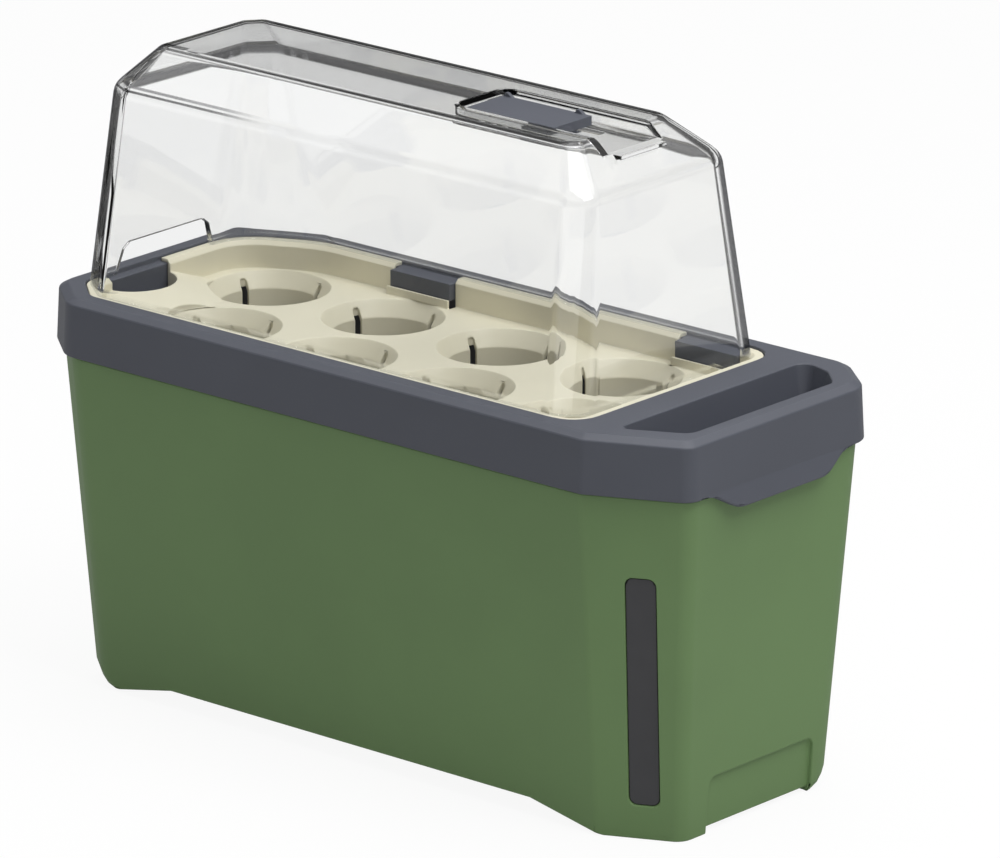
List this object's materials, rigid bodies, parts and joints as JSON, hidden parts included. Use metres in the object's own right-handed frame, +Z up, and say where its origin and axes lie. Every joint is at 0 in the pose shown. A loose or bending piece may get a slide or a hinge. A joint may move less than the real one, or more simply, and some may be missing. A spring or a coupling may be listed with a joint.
{
  "type": "herb pot with propagation dome",
  "caption": "Long self-watering windowsill herb pot: a water pot with level window, a hanging soil liner, a seed tray with cups and a clear dome with a sliding vent",
  "frame": {"origin": "centre of the bounding box in plan, on the surface the feet stand on", "axes": "+Z up, +X along the length towards the fill pocket, +Y towards the back"},
  "size_m": [0.403, 0.172, 0.318],
  "materials": {
    "green_plastic": "fine matte texture",
    "slate_plastic": "fine matte texture",
    "cream_plastic": "satin",
    "clear_plastic": "clear polished",
    "smoked_plastic": "smoked clear",
    "seal_rubber": "matte",
    "wick_felt": "felt"
  },
  "bodies": {
    "pot": {"outer_pot": "green_plastic", "level_window": "smoked_plastic", "window_seal": "seal_rubber"},
    "soil_liner": {"liner": "slate_plastic", "wick_left": "wick_felt", "wick_right": "wick_felt"},
    "tray": {"seed_tray": "cream_plastic"},
    "cover": {"dome": "clear_plastic"},
    "vent": {"vent_slider": "slate_plastic", "vent_clip_front": "slate_plastic", "vent_clip_back": "slate_plastic"}
  },
  "joints": [
    {"name": "liner_lift", "type": "slide", "parent": "pot", "child": "soil_liner", "axis": [0, 0, 1], "range_m": [0, 0.2]},
    {"name": "tray_lift", "type": "slide", "parent": "soil_liner", "child": "tray", "axis": [0, 0, 1], "range_m": [0, 0.08]},
    {"name": "dome_lift", "type": "slide", "parent": "tray", "child": "cover", "axis": [0, 0, 1], "range_m": [0, 0.15]},
    {"name": "vent_slide", "type": "slide", "parent": "cover", "child": "vent", "axis": [1, 0, 0], "range_m": [0, 0.018]}
  ]
}
